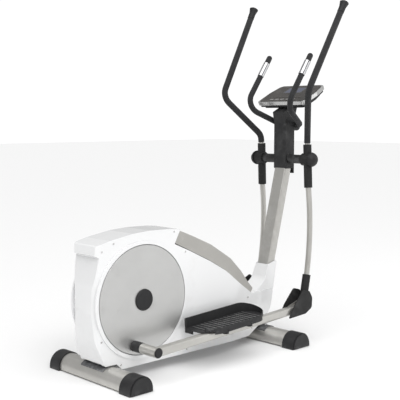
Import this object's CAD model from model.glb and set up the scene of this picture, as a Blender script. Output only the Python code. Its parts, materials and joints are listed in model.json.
import json
import math

import bmesh
import bpy
from mathutils import Matrix, Vector


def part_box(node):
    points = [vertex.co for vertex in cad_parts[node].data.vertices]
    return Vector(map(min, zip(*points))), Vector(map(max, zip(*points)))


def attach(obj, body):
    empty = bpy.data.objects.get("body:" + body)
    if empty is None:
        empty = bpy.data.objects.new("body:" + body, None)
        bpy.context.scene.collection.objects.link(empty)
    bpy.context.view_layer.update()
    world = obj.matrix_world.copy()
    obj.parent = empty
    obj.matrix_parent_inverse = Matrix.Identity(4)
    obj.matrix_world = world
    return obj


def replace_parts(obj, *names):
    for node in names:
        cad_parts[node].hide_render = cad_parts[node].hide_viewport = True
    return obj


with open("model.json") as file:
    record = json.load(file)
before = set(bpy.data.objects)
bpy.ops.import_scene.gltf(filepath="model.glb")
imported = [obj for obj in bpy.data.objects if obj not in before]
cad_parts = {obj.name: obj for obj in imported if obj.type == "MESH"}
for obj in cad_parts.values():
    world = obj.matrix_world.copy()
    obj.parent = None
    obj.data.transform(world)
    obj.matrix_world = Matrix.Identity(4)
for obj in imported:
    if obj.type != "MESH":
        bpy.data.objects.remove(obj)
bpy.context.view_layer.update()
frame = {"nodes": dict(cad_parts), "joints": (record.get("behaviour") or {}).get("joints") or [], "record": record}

NODES = frame["nodes"]
JOINTS = {j["name"]: j for j in frame["joints"]}
BODY_OF = {}
for body_name, members in frame["record"]["behaviour"]["bodies"].items():
    for member in members:
        BODY_OF[member] = body_name

# ---------------------------------------------------------------- places

CRANK = Vector(JOINTS["crank_turn"]["pos_m"])
PIVOT = Vector(JOINTS["swing_arm_right_turn"]["pos_m"])
SIDES = {"right": -1.0, "left": 1.0}
LOWER = {n: Vector(JOINTS["lower_joint_%s_turn" % n]["pos_m"]) for n in SIDES}
PIN = {n: Vector(JOINTS["pedal_arm_%s_turn" % n]["pos_m"]) for n in SIDES}
REAR = CRANK.x - 0.233                  # the line near the rear that lengths are taken from


def swing_frame(name):
    """Turns points drawn for the left swing arm about its pivot into the row frame."""
    lean = math.atan2(PIVOT.x - LOWER[name].x, PIVOT.z - LOWER[name].z)
    place = Matrix.Translation(PIVOT) @ Matrix.Rotation(lean, 4, "Y")
    return place @ Matrix.Diagonal((1.0, SIDES[name], 1.0, 1.0))


def arm_frame(name):
    """Turns points drawn for the left pedal arm, from its crank pin, into the row frame."""
    pitch = math.atan2(LOWER[name].z - PIN[name].z, LOWER[name].x - PIN[name].x)
    place = Matrix.Translation(PIN[name]) @ Matrix.Rotation(-pitch, 4, "Y")
    return place @ Matrix.Diagonal((1.0, SIDES[name], 1.0, 1.0))


# ---------------------------------------------------------------- materials

PLASTIC_IOR = 1.5


class Finish:
    """A node-based material, built up from coordinates in the object's own space."""

    def __init__(self, name):
        self.material = bpy.data.materials.new(name)
        self.material.use_nodes = True
        self.tree = self.material.node_tree
        self.shader = self.tree.nodes["Principled BSDF"]
        self.coords = self.tree.nodes.new("ShaderNodeTexCoord").outputs["Object"]
        self.bumps = []

    def node(self, kind, **values):
        made = self.tree.nodes.new(kind)
        for key, value in values.items():
            setattr(made, key, value)
        return made

    def link(self, a, b):
        self.tree.links.new(a, b)

    def stretched(self, scale, centre=(0.0, 0.0, 0.0), turn=(0.0, 0.0, 0.0)):
        """Object coordinates moved to a centre, turned, then scaled by axis."""
        mapping = self.node("ShaderNodeMapping", vector_type="TEXTURE")
        mapping.inputs["Location"].default_value = centre
        mapping.inputs["Rotation"].default_value = turn
        mapping.inputs["Scale"].default_value = scale
        self.link(self.coords, mapping.inputs["Vector"])
        return mapping.outputs["Vector"]

    def noise(self, scale, detail=4.0, rough=0.55, vector=None, distortion=0.0):
        n = self.node("ShaderNodeTexNoise")
        n.inputs["Scale"].default_value = scale
        n.inputs["Detail"].default_value = detail
        n.inputs["Roughness"].default_value = rough
        n.inputs["Distortion"].default_value = distortion
        self.link(vector or self.coords, n.inputs["Vector"])
        return n.outputs["Fac"]

    def cells(self, scale, output="Distance"):
        n = self.node("ShaderNodeTexVoronoi")
        n.inputs["Scale"].default_value = scale
        self.link(self.coords, n.inputs["Vector"])
        return n.outputs[output]

    def span(self, value, low, high, to_low=0.0, to_high=1.0):
        n = self.node("ShaderNodeMapRange", clamp=True)
        n.inputs["From Min"].default_value = low
        n.inputs["From Max"].default_value = high
        n.inputs["To Min"].default_value = to_low
        n.inputs["To Max"].default_value = to_high
        self.link(value, n.inputs["Value"])
        return n.outputs["Result"]

    def mix(self, amount, a, b):
        """Colour a where amount is 0 and b where it is 1; each a colour or a socket."""
        n = self.node("ShaderNodeMix", data_type="RGBA")
        self.link(amount, n.inputs["Factor"])
        for value, socket in ((a, n.inputs[6]), (b, n.inputs[7])):
            if isinstance(value, tuple):
                socket.default_value = (*value, 1.0)
            else:
                self.link(value, socket)
        return n.outputs[2]

    def math(self, operation, a, b=None):
        n = self.node("ShaderNodeMath", operation=operation)
        for value, socket in ((a, n.inputs[0]), (b, n.inputs[1])):
            if value is None:
                continue
            if isinstance(value, (int, float)):
                socket.default_value = value
            else:
                self.link(value, socket)
        return n.outputs[0]

    def bump(self, height, depth, strength=1.0):
        n = self.node("ShaderNodeBump")
        n.inputs["Distance"].default_value = depth
        n.inputs["Strength"].default_value = strength
        self.link(height, n.inputs["Height"])
        if self.bumps:
            self.link(self.bumps[-1], n.inputs["Normal"])
        self.bumps.append(n.outputs["Normal"])

    def worn_edges(self):
        """1 along raised edges, broken up in patches."""
        geometry = self.node("ShaderNodeNewGeometry")
        edge = self.span(geometry.outputs["Pointiness"], 0.52, 0.62)
        patch = self.span(self.noise(30.0, 5.0), 0.42, 0.62)
        return self.math("MULTIPLY", edge, patch)

    def done(self, colour, rough, metallic=0.0, specular=0.5, coat=0.0, coat_rough=0.1,
             sheen=0.0, anisotropic=0.0):
        self.link(colour, self.shader.inputs["Base Color"])
        self.link(rough, self.shader.inputs["Roughness"])
        self.shader.inputs["Metallic"].default_value = metallic
        self.shader.inputs["Specular IOR Level"].default_value = specular
        self.shader.inputs["IOR"].default_value = PLASTIC_IOR
        self.shader.inputs["Coat Weight"].default_value = coat
        self.shader.inputs["Coat Roughness"].default_value = coat_rough
        self.shader.inputs["Sheen Weight"].default_value = sheen
        self.shader.inputs["Anisotropic"].default_value = anisotropic
        if self.bumps:
            self.link(self.bumps[-1], self.shader.inputs["Normal"])
        return self.material


def gloss_shell():
    f = Finish("gloss_white_shell")
    cloud = f.noise(3.0, 3.0)
    speck = f.span(f.noise(420.0, 2.0), 0.66, 0.78)
    colour = f.mix(cloud, (0.80, 0.805, 0.81), (0.86, 0.862, 0.865))
    grime = f.span(f.noise(9.0, 6.0), 0.60, 0.74)
    colour = f.mix(f.math("MULTIPLY", grime, 0.25), colour, (0.66, 0.655, 0.64))
    colour = f.mix(f.math("MULTIPLY", speck, 0.12), colour, (0.6, 0.59, 0.57))
    smear = f.noise(14.0, 8.0, 0.7, distortion=0.6)
    rough = f.span(smear, 0.3, 0.75, 0.10, 0.24)
    f.bump(f.noise(150.0, 2.0), 0.00006, 0.5)
    f.bump(f.noise(16.0, 2.0), 0.0004, 0.18)
    return f.done(colour, rough, specular=0.5, coat=0.6, coat_rough=0.05)


def silver_paint(name, dark, light, metallic=0.72, rough_low=0.30, rough_high=0.42, flakes=0.05):
    """Clear-coated silver paint with fine flakes, light scratches and brighter edges."""
    f = Finish(name)
    flake = f.cells(2600.0, output="Color")
    split = f.node("ShaderNodeSeparateColor")
    f.link(flake, split.inputs["Color"])
    cloud = f.noise(7.0, 4.0)
    colour = f.mix(cloud, dark, light)
    colour = f.mix(f.math("MULTIPLY", split.outputs["Red"], flakes), colour, (0.93, 0.92, 0.90))
    scratch = f.span(f.noise(26.0, 9.0, 0.8, f.stretched((1.0, 0.05, 0.05)), 0.4), 0.64, 0.70)
    colour = f.mix(f.math("MULTIPLY", scratch, 0.12), colour, tuple(0.6 * c for c in dark))
    colour = f.mix(f.math("MULTIPLY", f.worn_edges(), 0.25), colour, (0.74, 0.73, 0.71))
    rough = f.span(f.noise(40.0, 6.0), 0.3, 0.7, rough_low, rough_high)
    f.bump(split.outputs["Green"], 0.00001, 0.2)
    f.bump(f.noise(220.0, 3.0), 0.00005, 0.4)
    return f.done(colour, rough, metallic=metallic, coat=0.25, coat_rough=0.18)


def disc_lacquer():
    """Silver lacquer with faint turning marks round the crank axis."""
    f = Finish("disc_lacquer")
    centred = f.stretched((1.0, 1.0, 1.0), tuple(CRANK))
    split = f.node("ShaderNodeSeparateXYZ")
    f.link(centred, split.inputs["Vector"])
    square = [f.math("MULTIPLY", split.outputs[k], split.outputs[k]) for k in ("X", "Z")]
    radius = f.math("SQRT", f.math("ADD", square[0], square[1]))
    ring = f.node("ShaderNodeTexNoise", noise_dimensions="1D")
    ring.inputs["Scale"].default_value = 900.0
    ring.inputs["Detail"].default_value = 3.0
    f.link(radius, ring.inputs["W"])
    cloud = f.noise(5.0, 3.0)
    colour = f.mix(cloud, (0.47, 0.47, 0.465), (0.56, 0.56, 0.55))
    colour = f.mix(f.math("MULTIPLY", ring.outputs["Fac"], 0.22), colour, (0.72, 0.72, 0.71))
    grime = f.span(f.noise(11.0, 7.0, 0.7), 0.58, 0.75)
    colour = f.mix(f.math("MULTIPLY", grime, 0.22), colour, (0.33, 0.325, 0.32))
    rough = f.span(f.noise(30.0, 6.0), 0.3, 0.7, 0.30, 0.42)
    f.bump(ring.outputs["Fac"], 0.00004, 0.5)
    f.bump(f.noise(1400.0, 2.0), 0.00003, 0.3)
    return f.done(colour, rough, metallic=0.62, coat=0.3, coat_rough=0.16, anisotropic=0.35)


def moulded(name, dark, light, rough_low, rough_high, grain=1500.0, depth=0.00012,
            edge=(0.12, 0.12, 0.12), edge_amount=0.5):
    """Moulded plastic with a fine pebbled grain, scuffed along its edges."""
    f = Finish(name)
    pebble = f.cells(grain)
    cloud = f.noise(9.0, 5.0)
    colour = f.mix(cloud, dark, light)
    colour = f.mix(f.math("MULTIPLY", f.worn_edges(), edge_amount), colour, edge)
    dust = f.span(f.noise(45.0, 8.0, 0.75), 0.60, 0.78)
    colour = f.mix(f.math("MULTIPLY", dust, 0.16), colour, tuple(min(1.0, 3.0 * c + 0.02) for c in light))
    rough = f.span(f.noise(60.0, 6.0), 0.3, 0.7, rough_low, rough_high)
    f.bump(pebble, depth, 0.6)
    f.bump(f.noise(70.0, 4.0), 0.0003, 0.12)
    return f.done(colour, rough, specular=0.28)


def foam():
    f = Finish("closed_cell_foam")
    cell = f.cells(2100.0)
    fine = f.noise(900.0, 4.0, 0.7)
    colour = f.mix(f.noise(24.0, 5.0), (0.012, 0.012, 0.013), (0.026, 0.026, 0.028))
    colour = f.mix(f.math("MULTIPLY", f.span(fine, 0.55, 0.75), 0.5), colour, (0.055, 0.055, 0.058))
    rough = f.span(f.noise(50.0, 5.0), 0.3, 0.7, 0.72, 0.92)
    f.bump(cell, 0.0003, 0.8)
    f.bump(fine, 0.0002, 0.6)
    f.bump(f.noise(38.0, 3.0), 0.0008, 0.25)
    return f.done(colour, rough, specular=0.35, sheen=0.12)


def plated(name, dark, light, rough_low=0.12, rough_high=0.28):
    f = Finish(name)
    colour = f.mix(f.noise(60.0, 5.0), dark, light)
    spot = f.span(f.noise(90.0, 5.0), 0.62, 0.76)
    colour = f.mix(f.math("MULTIPLY", spot, 0.2), colour, tuple(0.5 * c for c in dark))
    rough = f.span(f.noise(120.0, 6.0), 0.3, 0.7, rough_low, rough_high)
    f.bump(f.noise(800.0, 3.0, 0.6, f.stretched((1.0, 0.1, 1.0))), 0.00003, 0.5)
    return f.done(colour, rough, metallic=1.0)


def cast_iron():
    f = Finish("machined_iron")
    colour = f.mix(f.noise(28.0, 6.0), (0.10, 0.10, 0.105), (0.20, 0.20, 0.205))
    rust = f.span(f.noise(55.0, 7.0, 0.75), 0.62, 0.76)
    colour = f.mix(f.math("MULTIPLY", rust, 0.35), colour, (0.16, 0.085, 0.05))
    rough = f.span(f.noise(80.0, 6.0), 0.3, 0.7, 0.34, 0.62)
    f.bump(f.noise(520.0, 5.0), 0.0002, 0.6)
    return f.done(colour, rough, metallic=0.85)


CONSOLE_TILT = math.radians(25.5)
FIELD_HALF = {"X": 0.026, "Y": 0.050}
BARS_PER_M = {"X": 170.0, "Y": 130.0}
BAR_GAP = {"X": 0.4, "Y": 0.35}         # share of each bar's pitch
BAR_SHIFT = 50.0                        # whole pitches, which keep the pattern above zero


def display_glass(centre):
    """Tinted window over a dim liquid-crystal field divided into plain bars."""
    f = Finish("display_glass")
    local = f.stretched((1.0, 1.0, 1.0), tuple(centre), (0.0, -CONSOLE_TILT, 0.0))
    split = f.node("ShaderNodeSeparateXYZ")
    f.link(local, split.inputs["Vector"])
    inside = {}
    bar = {}
    for axis in ("X", "Y"):
        along = split.outputs[axis]
        inside[axis] = f.math("LESS_THAN", f.math("ABSOLUTE", along), FIELD_HALF[axis])
        pitch = f.math("ADD", f.math("MULTIPLY", along, BARS_PER_M[axis]), BAR_SHIFT)
        bar[axis] = f.math("GREATER_THAN", f.math("FRACT", pitch), BAR_GAP[axis])
    field = f.math("MULTIPLY", inside["X"], inside["Y"])
    bars = f.math("MULTIPLY", bar["Y"], bar["X"])
    colour = f.mix(field, (0.006, 0.007, 0.011), (0.018, 0.028, 0.085))
    faint = f.math("MULTIPLY", f.math("MULTIPLY", bars, field), 0.22)
    colour = f.mix(faint, colour, (0.05, 0.07, 0.16))
    rough = f.span(f.noise(60.0, 6.0), 0.35, 0.7, 0.05, 0.16)
    return f.done(colour, rough, specular=0.6, coat=0.5, coat_rough=0.03)


def ribbed_belt():
    f = Finish("ribbed_belt")
    wave = f.node("ShaderNodeTexWave", wave_type="BANDS", bands_direction="Y")
    wave.inputs["Scale"].default_value = 260.0
    f.link(f.coords, wave.inputs["Vector"])
    colour = f.mix(f.noise(70.0, 5.0), (0.010, 0.010, 0.010), (0.022, 0.022, 0.022))
    rough = f.span(f.noise(90.0, 5.0), 0.3, 0.7, 0.55, 0.8)
    f.bump(wave.outputs["Fac"], 0.0005, 0.6)
    return f.done(colour, rough)


lens_low, lens_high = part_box("console_lens")

WHITE = gloss_shell()
TUBE = silver_paint("warm_silver_paint", (0.46, 0.45, 0.425), (0.56, 0.55, 0.52))
RIM = silver_paint("console_silver", (0.50, 0.50, 0.495), (0.60, 0.60, 0.59),
                   metallic=0.6, rough_low=0.22, rough_high=0.32, flakes=0.0)
DISC = disc_lacquer()
SPINE = moulded("spine_grey", (0.36, 0.35, 0.33), (0.43, 0.42, 0.395), 0.36, 0.50,
                grain=1700.0, depth=0.00007, edge=(0.55, 0.54, 0.52), edge_amount=0.35)
BLACK = moulded("black_moulding", (0.014, 0.014, 0.015), (0.026, 0.026, 0.027), 0.40, 0.56)
RUBBERY = moulded("black_soft_moulding", (0.012, 0.012, 0.012), (0.022, 0.022, 0.022), 0.50, 0.70,
                  grain=1100.0, depth=0.0002, edge=(0.07, 0.07, 0.07), edge_amount=0.4)
TREAD = moulded("tread_rubber", (0.016, 0.016, 0.017), (0.034, 0.034, 0.035), 0.48, 0.68,
                grain=900.0, depth=0.00025, edge=(0.15, 0.15, 0.15), edge_amount=0.7)
BLACK_STEEL = moulded("black_steel_paint", (0.018, 0.018, 0.018), (0.03, 0.03, 0.03), 0.28, 0.42,
                      grain=2400.0, depth=0.00005, edge=(0.30, 0.30, 0.31), edge_amount=0.6)
FRAME_STEEL = moulded("dark_frame_paint", (0.07, 0.072, 0.075), (0.11, 0.112, 0.115), 0.35, 0.5,
                      grain=2200.0, depth=0.00006, edge=(0.40, 0.40, 0.41), edge_amount=0.6)
FOAM = foam()
PLATED = plated("zinc_plate", (0.56, 0.56, 0.55), (0.72, 0.72, 0.71))
CHROME = plated("sensor_chrome", (0.44, 0.44, 0.45), (0.55, 0.55, 0.56), 0.16, 0.28)
IRON = cast_iron()
FACE = moulded("console_membrane", (0.042, 0.038, 0.035), (0.062, 0.057, 0.052), 0.34, 0.48,
               grain=1900.0, depth=0.00005, edge=(0.3, 0.29, 0.28), edge_amount=0.6)
KEYS = moulded("soft_keys", (0.20, 0.195, 0.19), (0.27, 0.265, 0.26), 0.42, 0.58,
               grain=1600.0, depth=0.00006, edge=(0.42, 0.41, 0.40), edge_amount=0.4)
GLASS = display_glass((lens_low + lens_high) / 2)
BELT = ribbed_belt()
MAGNET = moulded("magnet_lacquer", (0.12, 0.10, 0.085), (0.17, 0.145, 0.12), 0.35, 0.5,
                 grain=1300.0, depth=0.0001)


# ---------------------------------------------------------------- mesh helpers

SHARP = 28.0                            # degrees; sharper edges are rounded
CREASE = 32.0                           # degrees; sharper edges stay creased in the shading


def new_piece(name, mesh, node, material):
    """Puts a finished mesh in the scene on the body that carries a CAD node."""
    piece = bpy.data.objects.new(name, mesh)
    bpy.context.scene.collection.objects.link(piece)
    mesh.materials.clear()
    mesh.materials.append(material)
    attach(piece, BODY_OF[node])
    return piece


def smooth_mesh(mesh, angle):
    mesh.shade_smooth()
    mesh.set_sharp_from_angle(angle=math.radians(angle))


def merged(node):
    """A CAD node's surface as one joined bmesh, flat faces whole."""
    bm = bmesh.new()
    bm.from_mesh(NODES[node].data)
    bmesh.ops.remove_doubles(bm, verts=bm.verts, dist=2e-6)
    bmesh.ops.dissolve_degenerate(bm, dist=1e-6, edges=bm.edges)
    bmesh.ops.dissolve_limit(bm, angle_limit=math.radians(0.4), verts=bm.verts, edges=bm.edges)
    bmesh.ops.remove_doubles(bm, verts=bm.verts, dist=2e-6)
    return bm


def soften(bm, width, segments, where=None):
    """Rounds the sharp edges, all of them or those that where() picks."""
    chosen = []
    for edge in bm.edges:
        if len(edge.link_faces) != 2:
            continue
        if edge.calc_face_angle(0.0) < math.radians(SHARP):
            continue
        if where is None or where(edge):
            chosen.append(edge)
    if chosen:
        bmesh.ops.bevel(bm, geom=chosen, offset=width, offset_type="OFFSET", segments=segments,
                        profile=0.5, affect="EDGES", clamp_overlap=True, harden_normals=False)


def plain_mesh(bm, name):
    mesh = bpy.data.meshes.new(name)
    bm.to_mesh(mesh)
    bm.free()
    return mesh


def finish_bm(bm, name):
    bmesh.ops.dissolve_degenerate(bm, dist=1e-7, edges=bm.edges)
    mesh = plain_mesh(bm, name)
    smooth_mesh(mesh, CREASE)
    return mesh


def softened_copy(node, material, width, segments, where=None):
    """Stands a copy with rounded edges in the CAD node's place."""
    bm = merged(node)
    soften(bm, width, segments, where)
    piece = new_piece(node + "_finished", finish_bm(bm, node + "_finished"), node, material)
    weighted = piece.modifiers.new("even_shading", "WEIGHTED_NORMAL")
    weighted.keep_sharp = True
    weighted.weight = 80
    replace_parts(piece, node)


# ---------------------------------------------------------------- geometry nodes

def tree_with(name, sockets):
    """A geometry tree with named inputs; returns it, its ends and the inputs' identifiers."""
    tree = bpy.data.node_groups.new(name, "GeometryNodeTree")
    tree.interface.new_socket("Geometry", in_out="INPUT", socket_type="NodeSocketGeometry")
    ids = {}
    for label, kind, value in sockets:
        made = tree.interface.new_socket(label, in_out="INPUT", socket_type=kind)
        if value is not None:
            made.default_value = value
        ids[label] = made.identifier
    tree.interface.new_socket("Geometry", in_out="OUTPUT", socket_type="NodeSocketGeometry")
    return tree, tree.nodes.new("NodeGroupInput"), tree.nodes.new("NodeGroupOutput"), ids


def chain(tree, *steps):
    """Links each step's geometry or curve output to the next step's first such input."""
    for a, b in zip(steps, steps[1:]):
        out = next(s for s in a.outputs if s.type == "GEOMETRY")
        into = next(s for s in b.inputs if s.type == "GEOMETRY")
        tree.links.new(out, into)


def close_tree(tree, last, end, given):
    """Ends a tree with plain, painted geometry."""
    realize = tree.nodes.new("GeometryNodeRealizeInstances")
    painted = tree.nodes.new("GeometryNodeSetMaterial")
    tree.links.new(given.outputs["Finish"], painted.inputs["Material"])
    chain(tree, last, realize, painted, end)


def padded_tube_tree():
    """A round tube of a given radius along the edges that go in."""
    tree, given, end, ids = tree_with("tube_on_path", [
        ("Radius", "NodeSocketFloat", 0.01), ("Sides", "NodeSocketInt", 32),
        ("Finish", "NodeSocketMaterial", None)])
    path = tree.nodes.new("GeometryNodeMeshToCurve")
    ring = tree.nodes.new("GeometryNodeCurvePrimitiveCircle")
    sweep = tree.nodes.new("GeometryNodeCurveToMesh")
    smooth = tree.nodes.new("GeometryNodeSetShadeSmooth")
    tree.links.new(given.outputs["Radius"], ring.inputs["Radius"])
    tree.links.new(given.outputs["Sides"], ring.inputs["Resolution"])
    tree.links.new(ring.outputs["Curve"], sweep.inputs["Profile Curve"])
    sweep.inputs["Fill Caps"].default_value = True
    chain(tree, given, path, sweep, smooth)
    close_tree(tree, smooth, end, given)
    return tree, ids


def scatter_tree():
    """A copy of one part at every point, turned by the point's own attribute."""
    tree, given, end, ids = tree_with("parts_on_points", [
        ("Part", "NodeSocketObject", None), ("Finish", "NodeSocketMaterial", None)])
    part = tree.nodes.new("GeometryNodeObjectInfo")
    turn = tree.nodes.new("GeometryNodeInputNamedAttribute")
    turn.data_type = "FLOAT_VECTOR"
    turn.inputs["Name"].default_value = "turn"
    place = tree.nodes.new("GeometryNodeInstanceOnPoints")
    tree.links.new(given.outputs["Part"], part.inputs["Object"])
    tree.links.new(part.outputs["Geometry"], place.inputs["Instance"])
    tree.links.new(turn.outputs["Attribute"], place.inputs["Rotation"])
    chain(tree, given, place)
    close_tree(tree, place, end, given)
    return tree, ids


TUBE_TREE = padded_tube_tree()
SCATTER_TREE = scatter_tree()


def grown(name, mesh, tree, ids, values):
    """Runs a geometry tree on a mesh and returns the plain result."""
    holder = bpy.data.objects.new(name + "_source", mesh)
    bpy.context.scene.collection.objects.link(holder)
    modifier = holder.modifiers.new("grow", "NODES")
    modifier.node_group = tree
    for label, value in values.items():
        modifier[ids[label]] = value
    bpy.context.view_layer.update()
    graph = bpy.context.evaluated_depsgraph_get()
    result = bpy.data.meshes.new_from_object(holder.evaluated_get(graph))
    result.name = name
    holder.modifiers.clear()
    bpy.data.objects.remove(holder)
    return result


def path_mesh(name, points):
    mesh = bpy.data.meshes.new(name)
    mesh.from_pydata([tuple(p) for p in points], [(i, i + 1) for i in range(len(points) - 1)], [])
    return mesh


FOAM_SIDES = 36
FOAM_EDGE = 0.0012


def foam_tube(name, points, radius, node):
    """A foam sleeve along a path, its end edges rounded, in the CAD node's place."""
    mesh = grown(name, path_mesh(name, points), TUBE_TREE[0], TUBE_TREE[1],
                 {"Radius": radius, "Sides": FOAM_SIDES, "Finish": FOAM})
    bm = bmesh.new()
    bm.from_mesh(mesh)
    bmesh.ops.recalc_face_normals(bm, faces=bm.faces)
    ends = [e for e in bm.edges if e.calc_face_angle(0.0) > math.radians(60)]
    bmesh.ops.bevel(bm, geom=ends, offset=FOAM_EDGE, segments=2, profile=0.5,
                    affect="EDGES", clamp_overlap=True)
    bm.to_mesh(mesh)
    bm.free()
    smooth_mesh(mesh, 50.0)
    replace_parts(new_piece(name, mesh, node, FOAM), node)


def scattered(name, places, part_mesh, material, node):
    """places is a list of (point, direction the part's +Z takes, spin about it)."""
    points = bpy.data.meshes.new(name + "_points")
    points.from_pydata([tuple(p) for p, _, _ in places], [], [])
    turns = points.attributes.new("turn", "FLOAT_VECTOR", "POINT")
    for i, (_, direction, spin) in enumerate(places):
        quat = Vector(direction).to_track_quat("Z", "Y")
        turn = (quat.to_matrix() @ Matrix.Rotation(spin, 3, "Z")).to_euler("XYZ")
        turns.data[i].vector = turn
    part = bpy.data.objects.new(name + "_part", part_mesh)
    bpy.context.scene.collection.objects.link(part)
    mesh = grown(name, points, SCATTER_TREE[0], SCATTER_TREE[1],
                 {"Part": part, "Finish": material})
    bpy.data.objects.remove(part)
    smooth_mesh(mesh, 40.0)
    return new_piece(name, mesh, node, material)


def rounded_path(corners, step=0.006):
    """Points along straights and true elbows through corners (x, y, z, bend radius), in metres."""
    last = len(corners) - 1
    at = [Vector(c[:3]) for c in corners]
    out = [at[0]]
    for i in range(1, last):
        u = (at[i - 1] - at[i]).normalized()
        v = (at[i + 1] - at[i]).normalized()
        half = (math.pi - u.angle(v)) / 2
        radius = corners[i][3]
        cut = radius * math.tan(half)
        centre = at[i] + (u + v).normalized() * radius / math.cos(half)
        start = at[i] + u * cut - centre
        axis = start.cross(at[i] + v * cut - centre).normalized()
        count = max(3, int(2 * half * radius / step))
        for k in range(count + 1):
            out.append(centre + Matrix.Rotation(2 * half * k / count, 3, axis) @ start)
    out.append(at[last])
    return out


# ---------------------------------------------------------------- plain mechanical pieces

SOFTENED = [
    # node, material, edge radius in metres, segments
    ("main_frame", FRAME_STEEL, 0.0006, 1), ("foot_caps", BLACK, 0.0035, 3),
    ("rear_stabilizer", TUBE, 0.0008, 2), ("front_stabilizer", TUBE, 0.0008, 2),
    ("stabilizer_bolts", PLATED, 0.0010, 2), ("mast", TUBE, 0.0006, 1),
    ("mast_base_cover", WHITE, 0.0030, 3), ("mast_upper_cover", BLACK, 0.0030, 3),
    ("spine_cover", SPINE, 0.0030, 3), ("pivot_axle", BLACK_STEEL, 0.0012, 2),
    ("pivot_caps", BLACK, 0.0015, 2), ("console_base", BLACK, 0.0020, 2),
    ("console_rim", RIM, 0.0035, 3), ("console_face", FACE, 0.0004, 1),
    ("console_lens", GLASS, 0.0008, 2), ("sensor_plates", CHROME, 0.0004, 1),
    ("power_inlet", BLACK, 0.0006, 1), ("crank_bearings", PLATED, 0.0008, 1),
    ("servo_motor", BLACK, 0.0020, 2), ("drive_belt", BELT, 0.0004, 1),
    ("crank_axle", PLATED, 0.0010, 1), ("drive_pulley", BLACK, 0.0008, 1),
    ("disc_right", DISC, 0.0012, 3), ("disc_left", DISC, 0.0012, 3), ("hub_caps", BLACK, 0.0008, 2),
    ("crank_arms", FRAME_STEEL, 0.0010, 2), ("pin_collars", BLACK, 0.0015, 2),
    ("flywheel", IRON, 0.0010, 1), ("idler_pulley", BLACK, 0.0008, 1),
    ("brake_magnet", MAGNET, 0.0010, 1), ("transport_wheels", RUBBERY, 0.0025, 3),
    ("pivot_sleeve_right", RUBBERY, 0.0015, 2), ("pivot_sleeve_left", RUBBERY, 0.0015, 2),
    ("pedal_arm_right", TUBE, 0.0008, 2), ("pedal_arm_left", TUBE, 0.0008, 2),
    ("pin_cap_right", BLACK, 0.0015, 2), ("pin_cap_left", BLACK, 0.0015, 2),
    ("joint_boot_right", RUBBERY, 0.0045, 3), ("joint_boot_left", RUBBERY, 0.0045, 3),
    ("pedal_knobs_right", BLACK, 0.0012, 2), ("pedal_knobs_left", BLACK, 0.0012, 2),
    ("pedal_right", TREAD, 0.0010, 2), ("pedal_left", TREAD, 0.0010, 2),
    ("lower_sleeve_right", RUBBERY, 0.0015, 2), ("lower_sleeve_left", RUBBERY, 0.0015, 2),
    ("swing_arm_right", TUBE, 0.0006, 1), ("swing_arm_left", TUBE, 0.0006, 1),
    ("grip_cap_right", BLACK, 0.0015, 2), ("grip_cap_left", BLACK, 0.0015, 2),
]
KEY_COUNT = 5
for node_name, finish, radius, steps in SOFTENED:
    softened_copy(node_name, finish, radius, steps)
for i in range(KEY_COUNT):
    softened_copy("button_%d" % (i + 1), KEYS, 0.0008, 2)

# ---------------------------------------------------------------- casing shells

RECESS_RADII = (0.230, 0.239)           # the band that holds the disc recess's rim and step
SEAM_HALF = 0.045                       # edges nearer the middle plane than this stay sharp
SLIVER_AREA = 1e-9
SHELL_EDGE = 0.0022


def shell_edge(edge):
    """Outer corners of the shell, away from the disc recess and the seam."""
    middle = (edge.verts[0].co + edge.verts[1].co) / 2
    out = math.hypot(middle.x - CRANK.x, middle.z - CRANK.z)
    if RECESS_RADII[0] < out < RECESS_RADII[1]:
        return False
    whole = all(f.calc_area() > SLIVER_AREA for f in edge.link_faces)
    return whole and edge.is_convex and abs(middle.y) > SEAM_HALF


for side in SIDES:
    softened_copy("casing_" + side, WHITE, SHELL_EDGE, 3, shell_edge)

# ---------------------------------------------------------------- foam grips and handlebar

GRIP_PATH = [                           # in the left swing arm's own space
    (-0.0027, 0.1468, 0.079, 0), (-0.006, 0.147, 0.116, 0.060),
    (-0.166, 0.263, 0.310, 0.070), (0.050, 0.260, 0.737, 0)]
tip = Vector(GRIP_PATH[3][:3])
tip_way = (tip - Vector(GRIP_PATH[2][:3])).normalized()
CAP_GRIP = 0.030                        # the foam stops this far below the tip
GRIP_RADIUS = 0.0155
foam_corners = GRIP_PATH[:3] + [(*(tip - tip_way * CAP_GRIP), 0)]
for side in SIDES:
    place = swing_frame(side)
    points = [place @ p for p in rounded_path(foam_corners)]
    foam_tube("grip_%s_foam" % side, points, GRIP_RADIUS, "grip_" + side)

BAR_RADIUS = 0.014
BAR_HALF = [                            # the bar's left half from its tip: x, y, z, bend radius
    (REAR + 1.252, 0.132, 1.380, 0), (REAR + 1.080, 0.134, 1.136, 0.062),
    (PIVOT.x + 0.055, 0.062, 1.045, 0.034)]
bar_corners = [(x, -y, z, bend) for x, y, z, bend in BAR_HALF] + BAR_HALF[::-1]
foam_tube("fixed_handlebar_foam", rounded_path(bar_corners), BAR_RADIUS, "fixed_handlebar")


def dome(name, radius):
    """Half ball on +Z, nearly flat underneath."""
    bm = bmesh.new()
    bmesh.ops.create_uvsphere(bm, u_segments=32, v_segments=16, radius=radius)
    for v in bm.verts:
        if v.co.z <= 0:
            v.co.z *= 0.05
    return plain_mesh(bm, name)


bar_ends = []
for tip_corner, bend_corner in (bar_corners[:2], bar_corners[:-3:-1]):
    way = Vector(tip_corner[:3]) - Vector(bend_corner[:3])
    bar_ends.append((tip_corner[:3], way.normalized(), 0.0))
scattered("fixed_handlebar_ends", bar_ends, dome("bar_end", BAR_RADIUS), FOAM, "fixed_handlebar")

# ---------------------------------------------------------------- casing screws


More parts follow.
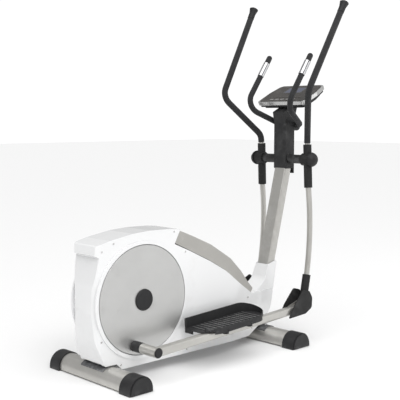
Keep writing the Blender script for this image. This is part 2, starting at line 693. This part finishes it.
def cross_screw(name, radius, height):
    """Domed head with a cross recess and a short skirt under its rim."""
    bm = bmesh.new()
    rings, steps = 9, 32
    grid = []
    for r in range(rings + 1):
        rho = radius * r / rings
        row = []
        for s in range(steps if r else 1):
            a = 2 * math.pi * s / steps
            x, y = rho * math.cos(a), rho * math.sin(a)
            z = height * math.sqrt(1 - (rho / radius) ** 2 * 0.92)
            in_slot = min(abs(x), abs(y)) < radius * 0.15
            if in_slot and rho < radius * 0.62:
                z -= height * 0.7
            row.append(bm.verts.new((x, y, z)))
        grid.append(row)
    skirt = [bm.verts.new((v.co.x, v.co.y, -height * 0.3)) for v in grid[-1]]
    grid.append(skirt)
    for r in range(len(grid) - 1):
        for s in range(steps):
            n = (s + 1) % steps
            if r == 0:
                bm.faces.new((grid[0][0], grid[1][s], grid[1][n]))
            else:
                bm.faces.new((grid[r][s], grid[r + 1][s], grid[r + 1][n], grid[r][n]))
    bm.faces.new(reversed(skirt))
    bmesh.ops.recalc_face_normals(bm, faces=bm.faces)
    return plain_mesh(bm, name)


def islands(node):
    """Lowest and highest corner of each loose solid of a CAD node."""
    bm = bmesh.new()
    bm.from_mesh(NODES[node].data)
    bmesh.ops.remove_doubles(bm, verts=bm.verts, dist=2e-6)
    left = set(bm.verts)
    out = []
    while left:
        todo = [left.pop()]
        group = list(todo)
        while todo:
            v = todo.pop()
            for e in v.link_edges:
                o = e.other_vert(v)
                if o in left:
                    left.discard(o)
                    todo.append(o)
                    group.append(o)
        low = Vector([min(v.co[k] for v in group) for k in range(3)])
        high = Vector([max(v.co[k] for v in group) for k in range(3)])
        out.append((low, high))
    bm.free()
    out.sort(key=lambda b: (round(b[0].y, 4), round(b[0].x, 4)))
    return out


SCREW_RADIUS = 0.004
SCREW_HEIGHT = 0.0018
SCREW_SPIN = 0.7                        # radians from one screw's cross to the next
screws = []
for i, (low, high) in enumerate(islands("casing_screws")):
    outward = 1.0 if low.y > 0 else -1.0
    face = high.y if low.y > 0 else low.y
    middle = ((low.x + high.x) / 2, face - outward * SCREW_HEIGHT, (low.z + high.z) / 2)
    screws.append((middle, (0.0, outward, 0.0), SCREW_SPIN * i))
screw_head = cross_screw("screw_head", SCREW_RADIUS, SCREW_HEIGHT)
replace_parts(scattered("casing_screw_heads", screws, screw_head, PLATED, "casing_screws"), "casing_screws")

# ---------------------------------------------------------------- pedal treads


def stud(name, radius, height, sides=10):
    """A small round stud on z = 0 with a chamfered top."""
    bm = bmesh.new()
    rings = []
    for r, z in ((radius, 0.0), (radius, height * 0.7), (radius * 0.75, height)):
        ring = []
        for s in range(sides):
            a = 2 * math.pi * s / sides
            ring.append(bm.verts.new((r * math.cos(a), r * math.sin(a), z)))
        rings.append(ring)
    for a, b in zip(rings, rings[1:]):
        for s in range(sides):
            n = (s + 1) % sides
            bm.faces.new((a[s], a[n], b[n], b[s]))
    bm.faces.new(rings[-1])
    bm.faces.new(reversed(rings[0]))
    bmesh.ops.recalc_face_normals(bm, faces=bm.faces)
    return plain_mesh(bm, name)


# Places on the pedal are in the left pedal arm's own space, from the crank pin.
RIB_COUNT = 14
RIB_START = 0.266 + 0.034 + 0.003       # the pedal's rear, its margin and half a rib
RIB_PITCH = 0.308 / (RIB_COUNT - 1)
RIB_MIDDLE_Y = 0.182
RIB_TOP = 0.0200
STRIP_SIZE = (0.0048, 0.112, 0.0012)
STUD_ROW_COUNT = 9
STUD_START_Y = 0.128
STUD_PITCH_Y = 0.0125
STUD_RADIUS = 0.0028
STUD_HEIGHT = 0.0022
TREAD_Z = 0.0173                        # a little into the pedal's floor
STRIP = moulded("rib_wear_strip", (0.10, 0.10, 0.102), (0.17, 0.17, 0.172), 0.42, 0.60, 900.0, 0.0002,
                (0.34, 0.34, 0.34), 0.6)
for side in SIDES:
    place = arm_frame(side)
    up = (place.to_3x3() @ Vector((0, 0, 1))).normalized()
    studs = []
    for i in range(RIB_COUNT - 1):
        x = RIB_START + RIB_PITCH * (i + 0.5)
        for k in range(STUD_ROW_COUNT):
            studs.append((place @ Vector((x, STUD_START_Y + k * STUD_PITCH_Y, TREAD_Z)), up, 0.0))
    scattered("pedal_%s_studs" % side, studs, stud("tread_stud", STUD_RADIUS, STUD_HEIGHT), TREAD,
              "pedal_" + side)
    bm = bmesh.new()
    for i in range(RIB_COUNT):
        middle = Matrix.Translation((RIB_START + RIB_PITCH * i, RIB_MIDDLE_Y, RIB_TOP))
        strip = place @ middle @ Matrix.Diagonal((*STRIP_SIZE, 1.0))
        bmesh.ops.create_cube(bm, size=1.0, matrix=strip)
    bmesh.ops.recalc_face_normals(bm, faces=bm.faces)
    soften(bm, 0.0004, 2)
    new_piece("pedal_%s_strips" % side, finish_bm(bm, "pedal_%s_strips" % side), "pedal_" + side, STRIP)

# ---------------------------------------------------------------- floor, light and camera

FLOOR_HALF = 30.0
FLOOR = bpy.data.materials.new("pale_floor")
FLOOR.use_nodes = True
floor_shader = FLOOR.node_tree.nodes["Principled BSDF"]
floor_shader.inputs["Base Color"].default_value = (0.90, 0.90, 0.90, 1.0)
floor_shader.inputs["Roughness"].default_value = 0.75
floor_mesh = bpy.data.meshes.new("floor")
floor_corners = [(x * FLOOR_HALF, y * FLOOR_HALF, 0) for x, y in ((-1, -1), (1, -1), (1, 1), (-1, 1))]
floor_mesh.from_pydata(floor_corners, [], [(0, 1, 2, 3)])
floor_mesh.materials.append(FLOOR)
floor = bpy.data.objects.new("floor", floor_mesh)
bpy.context.scene.collection.objects.link(floor)

# The room is brighter to the camera than it is as a light.
ROOM_LIGHT, BACKDROP_LIGHT = 0.46, 1.05
world = bpy.data.worlds.new("studio")
bpy.context.scene.world = world
world.use_nodes = True
backdrop = world.node_tree.nodes["Background"]
backdrop.inputs["Color"].default_value = (1.0, 1.0, 1.0, 1.0)
seen = world.node_tree.nodes.new("ShaderNodeLightPath")
level = world.node_tree.nodes.new("ShaderNodeMapRange")
level.inputs["To Min"].default_value = ROOM_LIGHT
level.inputs["To Max"].default_value = BACKDROP_LIGHT
world.node_tree.links.new(seen.outputs["Is Camera Ray"], level.inputs["Value"])
world.node_tree.links.new(level.outputs["Result"], backdrop.inputs["Strength"])


def softbox(name, place, aim, size, power):
    data = bpy.data.lights.new(name, "AREA")
    data.shape = "RECTANGLE"
    data.size, data.size_y = size
    data.energy = power
    light = bpy.data.objects.new(name, data)
    light.location = place
    light.rotation_euler = (Vector(aim) - Vector(place)).to_track_quat("-Z", "Y").to_euler()
    bpy.context.scene.collection.objects.link(light)


softbox("key_softbox", (-1.6, -3.4, 3.2), (0.0, 0.0, 0.6), (1.8, 1.8), 34.0)
softbox("fill_softbox", (2.8, -2.6, 2.0), (0.1, 0.0, 0.6), (1.6, 2.2), 16.0)

overhead = bpy.data.lights.new("overhead", "SUN")
overhead.energy = 2.1
overhead.angle = math.radians(70.0)
overhead_light = bpy.data.objects.new("overhead", overhead)
overhead_light.rotation_euler = (math.radians(18.0), math.radians(-14.0), 0.0)
bpy.context.scene.collection.objects.link(overhead_light)

CAMERA_PLACE = (REAR - 1.9949, -2.7588, 1.0745)
CAMERA_PITCH = math.radians(84.511)     # from straight down
CAMERA_HEADING = math.radians(-43.670)
LENS_MM = 75.886
SENSOR_MM = 36.0
camera_data = bpy.data.cameras.new("camera")
camera_data.lens = LENS_MM
camera_data.sensor_width = SENSOR_MM
camera = bpy.data.objects.new("camera", camera_data)
camera.location = CAMERA_PLACE
camera.rotation_euler = (CAMERA_PITCH, 0.0, CAMERA_HEADING)
bpy.context.scene.collection.objects.link(camera)
bpy.context.scene.camera = camera
bpy.context.scene.view_settings.view_transform = "Standard"
